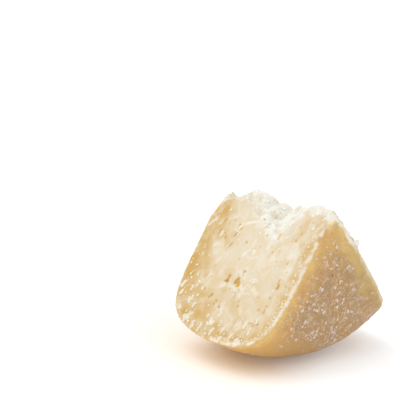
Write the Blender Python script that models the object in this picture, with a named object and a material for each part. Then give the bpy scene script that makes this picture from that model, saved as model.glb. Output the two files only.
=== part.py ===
"""A broken-off chunk of a round buffalo milk cheese, standing on its rind.

The chunk is a sector of a low wheel. The wheel's axis lies along X, the two knife
faces meet near the top, and the wheel's centre there has crumbled away. Everything
is modelled with the wheel's axis as the X axis, then set down on the table.
Units are metres, +Z is up.
"""

import math

import bmesh
import bpy
from mathutils import Matrix, Vector, noise

# driving dimensions
WHEEL_RADIUS = 0.100
WHEEL_HEIGHT = 0.0922
SECTOR_HALF_ANGLE = math.radians(34.1)

# how square the wheel's section is, across its radius and along its axis
RIM_POWER = 10.0
FACE_POWER = 2.2

# the smooth sector goes this far past each knife face before it is trimmed
SECTOR_MARGIN = math.radians(5.0)
PROFILE_STEPS = 44
SECTOR_STEPS = 20

# The crumbled top slopes from the crest, on the +Y knife face, down to its front edge,
# on the -Y one. Each row is a place along the axis and the depth below the axis there.
CREST = (
    (-0.0460, 0.0150),
    (-0.0400, 0.0165),
    (-0.0350, 0.0130),
    (-0.0310, 0.0088),
    (-0.0290, 0.0068),
    (-0.0200, 0.0064),
    (-0.0150, 0.0072),
    (-0.0100, 0.0104),
    (0.0030, 0.0122),
    (0.0085, 0.0080),
    (0.0190, 0.0068),
    (0.0290, 0.0024),
    (0.0340, 0.0014),
    (0.0460, 0.0024),
)
FRONT_EDGE = (
    (-0.0460, 0.0155),
    (-0.0340, 0.0120),
    (-0.0220, 0.0110),
    (-0.0100, 0.0150),
    (0.0020, 0.0200),
    (0.0120, 0.0240),
    (0.0240, 0.0250),
    (0.0340, 0.0190),
    (0.0460, 0.0090),
)

# lumps and hollows of the crumbled top: place along X and Y, rise, length and width
LUMPS = (
    (-0.0415, -0.0050, 0.0030, 0.0022, 0.0030),
    (-0.0360, 0.0010, -0.0026, 0.0030, 0.0070),
    (-0.0120, -0.0010, 0.0022, 0.0055, 0.0060),
    (0.0010, 0.0010, -0.0020, 0.0030, 0.0080),
    (0.0120, -0.0060, -0.0018, 0.0040, 0.0050),
    (0.0200, -0.0100, 0.0014, 0.0040, 0.0050),
)

# flakes that stand out of the +Y knife face by the rind: place along X and Y, rise, width
FLAKES = (
    (0.0445, 0.0090, 0.0032, 0.0026),
    (0.0440, 0.0170, 0.0042, 0.0030),
    (0.0445, 0.0210, 0.0038, 0.0022),
    (0.0435, 0.0455, 0.0016, 0.0045),
)
FLAKE_SQUEEZE = 1.6

# a slanting break has taken off the corner at -X and -Y
BREAK_PLACE = -0.0400
BREAK_DEPTH = 0.0050
BREAK_SLOPE_ALONG = 1.34
BREAK_SLOPE_ACROSS = 0.67

# relief, measured upwards, and the layer of the noise that each kind reads
CRAG_SIZE = 0.011
CRAG_HEIGHT = 0.0024
CRAG_LAYER = 11.0
CRUMB_SIZE = 0.0042
CRUMB_HEIGHT = 0.0014
CRUMB_LAYER = 12.0
KNIFE_WAVE_SIZE = 0.028
KNIFE_WAVE_HEIGHT = 0.0011
KNIFE_GRAIN_SIZE = 0.006
KNIFE_GRAIN_HEIGHT = 0.0004
FRONT_LAYERS = (2.0, 3.0)
BACK_LAYERS = (5.0, 6.0)
NOISE_ORIGIN = Vector((3.7, 1.9, 8.2))

# two surfaces of the top meet in an edge rounded over this height
EDGE_ROUNDING = 0.0010

# the rough block that trims the sector, whose rows lie closest at the crest
BLOCK_LENGTH = 0.104
BLOCK_WIDTH = 0.136
BLOCK_BOTTOM = -0.120
BLOCK_COLUMNS = 54
BLOCK_ROWS = 84
CREST_ROW_SPACING = 0.6

# the rim has settled on a small flat, this much short of the full radius
FOOT_SAG = 0.00035
MERGE = 0.00004

PASTE_COLOR = (0.80, 0.62, 0.38, 1.0)
PASTE_ROUGHNESS = 0.55


def clear_scene():
    for old in list(bpy.data.objects):
        bpy.data.objects.remove(old, do_unlink=True)


def between(table, place):
    """The value at a place, on straight lines between a table's rows of place and value."""
    if place <= table[0][0]:
        return table[0][1]
    for (start, first), (end, last) in zip(table, table[1:]):
        if place <= end:
            return first + (last - first) * (place - start) / (end - start)
    return table[-1][1]


def wave(x, y, size, layer):
    """Smooth noise of about -1 to 1 over the plan."""
    return noise.noise(Vector((x / size, y / size, layer)) + NOISE_ORIGIN)


def lower_of(first, second):
    """The lower of two heights, rounded where they meet."""
    near = max(1.0 - abs(first - second) / EDGE_ROUNDING, 0.0)
    return min(first, second) - near * near * EDGE_ROUNDING / 4


def knife_height(x, y):
    """Height of the two knife faces, which would meet at the wheel's axis."""
    height = -abs(y) / math.tan(SECTOR_HALF_ANGLE)
    wave_layer, grain_layer = BACK_LAYERS if y > 0 else FRONT_LAYERS
    height += KNIFE_WAVE_HEIGHT * wave(x, y, KNIFE_WAVE_SIZE, wave_layer)
    height += KNIFE_GRAIN_HEIGHT * wave(x, y, KNIFE_GRAIN_SIZE, grain_layer)
    for along, across, rise, width in FLAKES:
        away = math.hypot(x - along, (y - across) * FLAKE_SQUEEZE) / width
        height += rise * math.exp(-away * away)
    return height


def crumbled_height(x, y):
    """Height of the crumbled top, which rises from its front edge to the crest."""
    crest = between(CREST, x)
    front = between(FRONT_EDGE, x)
    spread = math.tan(SECTOR_HALF_ANGLE)
    slope = (front - crest) / ((front + crest) * spread)
    height = slope * (y - crest * spread) - crest
    for along, across, rise, length, width in LUMPS:
        away = math.hypot((x - along) / length, (y - across) / width)
        height += rise * math.exp(-away * away)
    height += CRAG_HEIGHT * (abs(wave(x, y, CRAG_SIZE, CRAG_LAYER)) - 0.25)
    height += CRUMB_HEIGHT * wave(x, y, CRUMB_SIZE, CRUMB_LAYER)
    return height


def broken_corner_height(x, y):
    """Height of the slanting break at the corner."""
    along = BREAK_SLOPE_ALONG * (x - BREAK_PLACE)
    return along + BREAK_SLOPE_ACROSS * y - BREAK_DEPTH


def top_height(x, y):
    height = lower_of(knife_height(x, y), crumbled_height(x, y))
    return lower_of(height, broken_corner_height(x, y))


def half_section():
    """Half of the wheel's section, from its centre over one face and the rim to its centre."""
    points = []
    for step in range(PROFILE_STEPS + 1):
        turn = math.pi * (step / PROFILE_STEPS - 0.5)
        radius = WHEEL_RADIUS * max(math.cos(turn), 0.0) ** (2 / RIM_POWER)
        along = abs(math.sin(turn)) ** (2 / FACE_POWER) * WHEEL_HEIGHT / 2
        points.append(Vector((math.copysign(along, turn), 0.0, -radius)))
    return points


def finished(bm, name):
    bmesh.ops.recalc_face_normals(bm, faces=bm.faces)
    mesh = bpy.data.meshes.new(name)
    bm.to_mesh(mesh)
    bm.free()
    return mesh


def sector_mesh():
    """A smooth sector of the wheel, spun about X from half of its section."""
    reach = SECTOR_HALF_ANGLE + SECTOR_MARGIN
    bm = bmesh.new()
    bm.faces.new([bm.verts.new(point) for point in half_section()])
    start = Matrix.Rotation(-reach, 3, "X")
    bmesh.ops.rotate(bm, verts=bm.verts, cent=(0, 0, 0), matrix=start)
    bmesh.ops.spin(
        bm,
        geom=bm.verts[:] + bm.edges[:] + bm.faces[:],
        cent=(0, 0, 0),
        axis=(1, 0, 0),
        angle=2 * reach,
        steps=SECTOR_STEPS,
    )
    bmesh.ops.remove_doubles(bm, verts=bm.verts, dist=MERGE)
    return finished(bm, "smooth_sector")


def rough_block_mesh():
    """A block whose top is the knife faces, the crumbled top and the broken corner."""
    bm = bmesh.new()
    bmesh.ops.create_grid(
        bm, x_segments=BLOCK_COLUMNS, y_segments=BLOCK_ROWS, size=0.5
    )
    bmesh.ops.scale(bm, vec=(BLOCK_LENGTH, BLOCK_WIDTH, 1), verts=bm.verts)
    for vert in bm.verts:
        outward = abs(2 * vert.co.y / BLOCK_WIDTH)
        vert.co.y *= CREST_ROW_SPACING + (1 - CREST_ROW_SPACING) * outward**2
    top = set(bm.verts)
    bmesh.ops.extrude_face_region(bm, geom=bm.faces[:])
    for vert in bm.verts:
        vert.co.z = BLOCK_BOTTOM
    for vert in top:
        vert.co.z = top_height(vert.co.x, vert.co.y)
    base = [face for face in bm.faces if not any(vert in top for vert in face.verts)]
    bmesh.ops.dissolve_faces(bm, faces=base)
    return finished(bm, "rough_block")


def placed(mesh, name):
    thing = bpy.data.objects.new(name, mesh)
    bpy.context.scene.collection.objects.link(thing)
    return thing


def trimmed(sector, block):
    """What the sector and the block have in common, as a mesh."""
    trim = sector.modifiers.new("trim", "BOOLEAN")
    trim.operation = "INTERSECT"
    trim.solver = "EXACT"
    trim.object = block
    graph = bpy.context.evaluated_depsgraph_get()
    mesh = bpy.data.meshes.new_from_object(sector.evaluated_get(graph))
    sector.modifiers.remove(trim)
    bpy.data.objects.remove(block)
    return mesh


def flatten_foot(bm):
    """Cuts the small flat that the chunk stands on."""
    cut = bmesh.ops.bisect_plane(
        bm,
        geom=bm.verts[:] + bm.edges[:] + bm.faces[:],
        plane_co=(0, 0, FOOT_SAG - WHEEL_RADIUS),
        plane_no=(0, 0, -1),
        clear_outer=True,
    )
    outline = [item for item in cut["geom_cut"] if isinstance(item, bmesh.types.BMEdge)]
    bmesh.ops.contextual_create(bm, geom=outline)


def set_down(bm):
    """Moves the chunk so that the middle of its base is at the origin."""
    low = [min(vert.co[axis] for vert in bm.verts) for axis in range(3)]
    high = [max(vert.co[axis] for vert in bm.verts) for axis in range(3)]
    move = (-(low[0] + high[0]) / 2, -(low[1] + high[1]) / 2, -low[2])
    bmesh.ops.translate(bm, vec=move, verts=bm.verts)


def cheese_material():
    material = bpy.data.materials.new("cheese")
    material.use_nodes = True
    shader = material.node_tree.nodes["Principled BSDF"]
    shader.inputs["Base Color"].default_value = PASTE_COLOR
    shader.inputs["Roughness"].default_value = PASTE_ROUGHNESS
    shader.inputs["Metallic"].default_value = 0.0
    return material


def build_chunk():
    chunk = placed(sector_mesh(), "cheese_chunk")
    block = placed(rough_block_mesh(), "rough_block")
    bm = bmesh.new()
    bm.from_mesh(trimmed(chunk, block))
    flatten_foot(bm)
    bmesh.ops.remove_doubles(bm, verts=bm.verts, dist=MERGE)
    set_down(bm)
    chunk.data = finished(bm, "cheese_chunk")
    chunk.data.materials.append(cheese_material())


clear_scene()
build_chunk()
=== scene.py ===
import math
from random import Random
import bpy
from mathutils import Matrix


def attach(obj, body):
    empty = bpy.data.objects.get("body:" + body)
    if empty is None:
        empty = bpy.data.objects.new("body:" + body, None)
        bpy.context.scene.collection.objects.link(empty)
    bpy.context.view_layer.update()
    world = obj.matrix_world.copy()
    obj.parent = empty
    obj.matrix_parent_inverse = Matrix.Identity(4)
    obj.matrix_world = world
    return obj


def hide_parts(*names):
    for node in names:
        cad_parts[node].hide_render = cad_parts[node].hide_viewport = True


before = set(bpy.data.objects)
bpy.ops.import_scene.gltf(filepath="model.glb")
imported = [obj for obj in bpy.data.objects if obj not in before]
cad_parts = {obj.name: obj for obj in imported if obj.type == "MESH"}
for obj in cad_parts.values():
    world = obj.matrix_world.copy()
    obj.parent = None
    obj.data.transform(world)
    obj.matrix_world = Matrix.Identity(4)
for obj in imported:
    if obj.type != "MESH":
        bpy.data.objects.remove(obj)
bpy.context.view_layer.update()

from types import SimpleNamespace

import bmesh
import bpy
import numpy as np
from mathutils import Euler, Matrix, Vector, noise

mm = 0.001

# The chunk is a sector that stands on its rim. Lengths are in millimetres, from the sector's own axis.
chunk = {
    "radius": 100.0,
    "height": 92.2,  # from one flat rind face to the other, along the axis
    "halfAngle": math.radians(34.1),
    "rimPower": 10.0,  # how square the section is across the radius
    "facePower": 2.2,  # and along the axis
    "footSag": 0.35,  # how far the flat under the rim lies inside the radius
    "sideShift": 0.12,  # to the middle of the CAD model's box
    "profileSteps": 4000,
    "profileSpacing": 1.3,
    "sectorSteps": 70,
    "margin": math.radians(5.0),  # how much wider the sector is spun than it is cut
    "dent": 0.45,  # the rind's slow dents
    "dentSize": 19.0,
    "dentsFrom": 4.0,  # not at the tip
    "voxel": 0.71,
}
spread = math.tan(chunk["halfAngle"])
axisHeight = chunk["radius"] - chunk["footSag"]

# The two knife faces and the crumbled top between them, x along the axis and y across, in millimetres.
top = {
    # x, depth below the axis: along the crest on the far face
    "crest": (
        (-46.0, 15.6), (-43.0, 17.4), (-40.0, 17.0), (-36.5, 14.2), (-35.3, 11.2), (-31.0, 9.0),
        (-29.0, 7.2), (-18.2, 6.2), (-16.2, 7.6), (-15.0, 8.4), (-12.6, 9.2), (-10.8, 11.0), (-9.8, 14.2),
        (-7.4, 12.9), (-4.7, 10.5), (-1.7, 10.0), (0.8, 11.2), (2.2, 13.8), (4.4, 12.6), (7.8, 9.6),
        (12.6, 7.2), (13.8, 8.0), (20.5, 6.6), (22.5, 6.4), (24.8, 4.0), (34.7, 0.8), (37.4, 0.7),
        (40.4, 2.4), (43.0, 2.2), (46.2, 3.6),
    ),
    # and along the lower edge on the near face
    "frontEdge": (
        (-46.0, 15.5), (-34.0, 12.0), (-22.0, 11.0), (-10.0, 15.0), (2.0, 20.0), (12.0, 24.0), (24.0, 25.0),
        (34.0, 19.0), (46.0, 9.0),
    ),
    # x, y, rise, length, width
    "lumps": (
        (-41.5, -5.0, 3.0, 2.2, 3.0), (-45.2, 0.6, 3.8, 1.6, 2.0), (-37.5, -3.5, -1.2, 3.0, 3.0),
        (-36.0, 1.0, -2.6, 3.0, 7.0), (-12.0, -1.0, 2.2, 5.5, 6.0), (-8.5, 5.5, 1.8, 3.5, 3.5),
        (1.0, 1.0, -2.0, 3.0, 8.0), (12.0, -6.0, -1.8, 4.0, 5.0), (20.0, -10.0, 1.4, 4.0, 5.0),
    ),
    # x, y, rise, width
    "flakes": ((44.5, 9.0, 2.8, 2.6), (44.0, 17.0, 3.4, 3.0), (44.5, 21.0, 3.4, 2.2), (43.5, 45.5, 1.6, 4.5)),
    "flakeSqueeze": 1.6,  # how much longer along the axis than across
    # the rise and the size of each kind of unevenness
    "knifeWaves": ((1.1, 28.0), (0.4, 6.0)),
    "crags": (2.4, 11.0),
    "chips": (1.4, 4.2),
    "grains": ((1.7, 5.6), (0.7, 2.6)),
    "grainBend": (1.8, 4.5),
    "dust": (0.3, 1.7),
    "grainSink": 1.45,
    # the slanting break at one corner: where it starts, how deep, its slopes along and across
    "breakPlace": -40.0,
    "breakDepth": 5.0,
    "breakSlope": (1.34, 0.67),
    "edgeRounding": 1.6,
    "calmBehindCrest": (0.5, 6.0),  # the crags grow over this distance behind it
    "calmTowardsRind": (15.0, 27.0),  # and shrink between these places along the axis
    "farBend": 4.8,  # the far knife face turns in towards the rim
    "farBendPlace": (33.0, 53.0),
    # of the block that trims the sector
    "length": 104.0,
    "width": 136.0,
    "bottom": -120.0,
    "columns": 190,
    "rows": 400,
}
noiseOrigin = Vector((3.7, 1.9, 8.2))


def wave(x, y, size, layer):
    return noise.noise(Vector((x / size, y / size, layer)) + noiseOrigin)


def between(table, place):  # a table's value at a place, straight between its rows
    if place <= table[0][0]:
        return table[0][1]
    for (start, first), (end, last) in zip(table, table[1:]):
        if place <= end:
            return first + (last - first) * (place - start) / (end - start)
    return table[-1][1]


def ramp(low, high, value):  # 0 at low, 1 at high, eased; low may be the larger one
    share = min(max((value - low) / (high - low), 0.0), 1.0)
    return share * share * (3 - 2 * share)


def rampArray(low, high, values):
    share = np.clip((values - low) / (high - low), 0.0, 1.0)
    return share * share * (3 - 2 * share)


def swell(rise, away):  # a soft lump
    return rise * math.exp(-away * away) if away < 3 else 0.0


def lowerOf(first, second):  # rounded where the two meet
    near = max(1.0 - abs(first - second) / top["edgeRounding"], 0.0)
    return min(first, second) - near * near * top["edgeRounding"] / 4


def knifeHeight(x, y):
    height = -abs(y) / spread
    for layer, (rise, size) in enumerate(top["knifeWaves"], 5 if y > 0 else 2):
        height += rise * wave(x, y, size, layer)
    for along, across, rise, width in top["flakes"]:
        height += swell(rise, math.hypot(x - along, (y - across) * top["flakeSqueeze"]) / width)
    return height - top["farBend"] * ramp(*top["farBendPlace"], y)


def unevenness(x, y):
    behindCrest = between(top["crest"], x) * spread - y
    alongCrest = 0.3 + 0.7 * ramp(*top["calmBehindCrest"], behindCrest)
    return alongCrest * (1 - 0.6 * ramp(*top["calmTowardsRind"], x))


def crumbledHeight(x, y):
    crest = between(top["crest"], x)
    front = between(top["frontEdge"], x)
    slope = (front - crest) / ((front + crest) * spread)
    height = slope * (y - crest * spread) - crest
    for along, across, rise, length, width in top["lumps"]:
        height += swell(rise, math.hypot((x - along) / length, (y - across) / width))
    (cragRise, cragSize), (chipRise, chipSize) = top["crags"], top["chips"]
    rough = cragRise * (abs(wave(x, y, cragSize, 11)) - 0.25) + chipRise * wave(x, y, chipSize, 12)
    return height + unevenness(x, y) * rough


def brokenCornerHeight(x, y):
    slopeX, slopeY = top["breakSlope"]
    return slopeX * (x - top["breakPlace"]) + slopeY * y - top["breakDepth"]


def curd(x, y, size, layer):  # rounded grains of curd: 1 in the middle of each, 0 between them
    near, _ = noise.voronoi(Vector((x / size, y / size, layer)))
    return 1.0 - min(near[0] * 1.25, 1.0) ** 2


def topHeight(x, y):  # the height, and how far the place is broken instead of cut
    knife = knifeHeight(x, y)
    crumbled = lowerOf(crumbledHeight(x, y), brokenCornerHeight(x, y))
    height = lowerOf(knife, crumbled)
    broken = ramp(-0.6, 1.2, knife - crumbled)
    if broken > 0:
        (bend, bendSize), (dust, dustSize) = top["grainBend"], top["dust"]
        bend *= wave(x, y, bendSize, 24)
        (coarse, coarseSize), (fine, fineSize) = top["grains"]
        grains = coarse * curd(x + bend, y - bend, coarseSize, 21)
        grains += fine * curd(x - bend, y + bend, fineSize, 22)
        rough = unevenness(x, y) * (grains - top["grainSink"])
        height += broken * (rough + dust * wave(x, y, dustSize, 23))
    return height, broken


def makeMesh(bm, name, material=None):
    mesh = bpy.data.meshes.new(name)
    bm.to_mesh(mesh)
    bm.free()
    if material:
        mesh.materials.append(material)
    return mesh


def putInScene(mesh, name):
    piece = bpy.data.objects.new(name, mesh)
    bpy.context.scene.collection.objects.link(piece)
    return piece


def withModifiers(piece):  # its mesh with the modifiers applied
    graph = bpy.context.evaluated_depsgraph_get()
    mesh = bpy.data.meshes.new_from_object(piece.evaluated_get(graph))
    bpy.data.objects.remove(piece)
    return mesh


def squareTo(side):  # square to the knife face on that side
    return Vector((0, side * math.cos(chunk["halfAngle"]), math.sin(chunk["halfAngle"])))


def outwards(side):  # along that face, away from the axis
    return Vector((0, side * math.sin(chunk["halfAngle"]), -math.cos(chunk["halfAngle"])))


def halfSection():  # from the middle of one face over the rim to the middle of the other, evenly spaced
    fine = []
    for step in range(chunk["profileSteps"] + 1):
        turn = math.pi * (step / chunk["profileSteps"] - 0.5)
        radius = chunk["radius"] * max(math.cos(turn), 0.0) ** (2 / chunk["rimPower"])
        along = abs(math.sin(turn)) ** (2 / chunk["facePower"]) * chunk["height"] / 2
        fine.append(Vector((math.copysign(along, turn), 0.0, -radius)))
    points, run = [fine[0]], 0.0
    for first, second in zip(fine, fine[1:]):
        run += (second - first).length
        if run >= chunk["profileSpacing"]:
            points.append(second)
            run = 0.0
    return points[:-1] + [fine[-1]]


def smoothSector():
    reach = chunk["halfAngle"] + chunk["margin"]
    bm = bmesh.new()
    bm.faces.new([bm.verts.new(point) for point in halfSection()])
    bmesh.ops.rotate(bm, verts=bm.verts, cent=(0, 0, 0), matrix=Matrix.Rotation(-reach, 3, "X"))
    bmesh.ops.spin(
        bm, geom=bm.verts[:] + bm.edges[:] + bm.faces[:], cent=(0, 0, 0), axis=(1, 0, 0),
        angle=2 * reach, steps=chunk["sectorSteps"], use_merge=False,
    )
    bmesh.ops.remove_doubles(bm, verts=bm.verts, dist=0.01)
    bmesh.ops.recalc_face_normals(bm, faces=bm.faces)
    bm.normal_update()
    for vert in bm.verts:
        if vert.co.yz.length > chunk["dentsFrom"]:
            vert.co += vert.normal * chunk["dent"] * noise.noise(vert.co / chunk["dentSize"])
    return makeMesh(bm, "smoothSector")


def roughBlock():
    bm = bmesh.new()
    bmesh.ops.create_grid(bm, x_segments=top["columns"], y_segments=top["rows"], size=0.5)
    bmesh.ops.scale(bm, vec=(top["length"], top["width"], 1), verts=bm.verts)
    upper = set(bm.verts)
    bmesh.ops.extrude_face_region(bm, geom=bm.faces[:])
    for vert in bm.verts:
        vert.co.z = topHeight(vert.co.x, vert.co.y)[0] if vert in upper else top["bottom"]
    base = [face for face in bm.faces if not any(vert in upper for vert in face.verts)]
    bmesh.ops.dissolve_faces(bm, faces=base)
    bmesh.ops.recalc_face_normals(bm, faces=bm.faces)
    return makeMesh(bm, "roughBlock")


def bodyMesh():  # what the sector and the block share, on an even net
    sector = putInScene(smoothSector(), "smoothSector")
    block = putInScene(roughBlock(), "roughBlock")
    trim = sector.modifiers.new("trim", "BOOLEAN")
    trim.operation = "INTERSECT"
    trim.solver = "EXACT"
    trim.object = block
    net = sector.modifiers.new("net", "REMESH")
    net.mode = "VOXEL"
    net.voxel_size = chunk["voxel"]
    mesh = withModifiers(sector)
    bpy.data.objects.remove(block)
    return mesh


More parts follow.
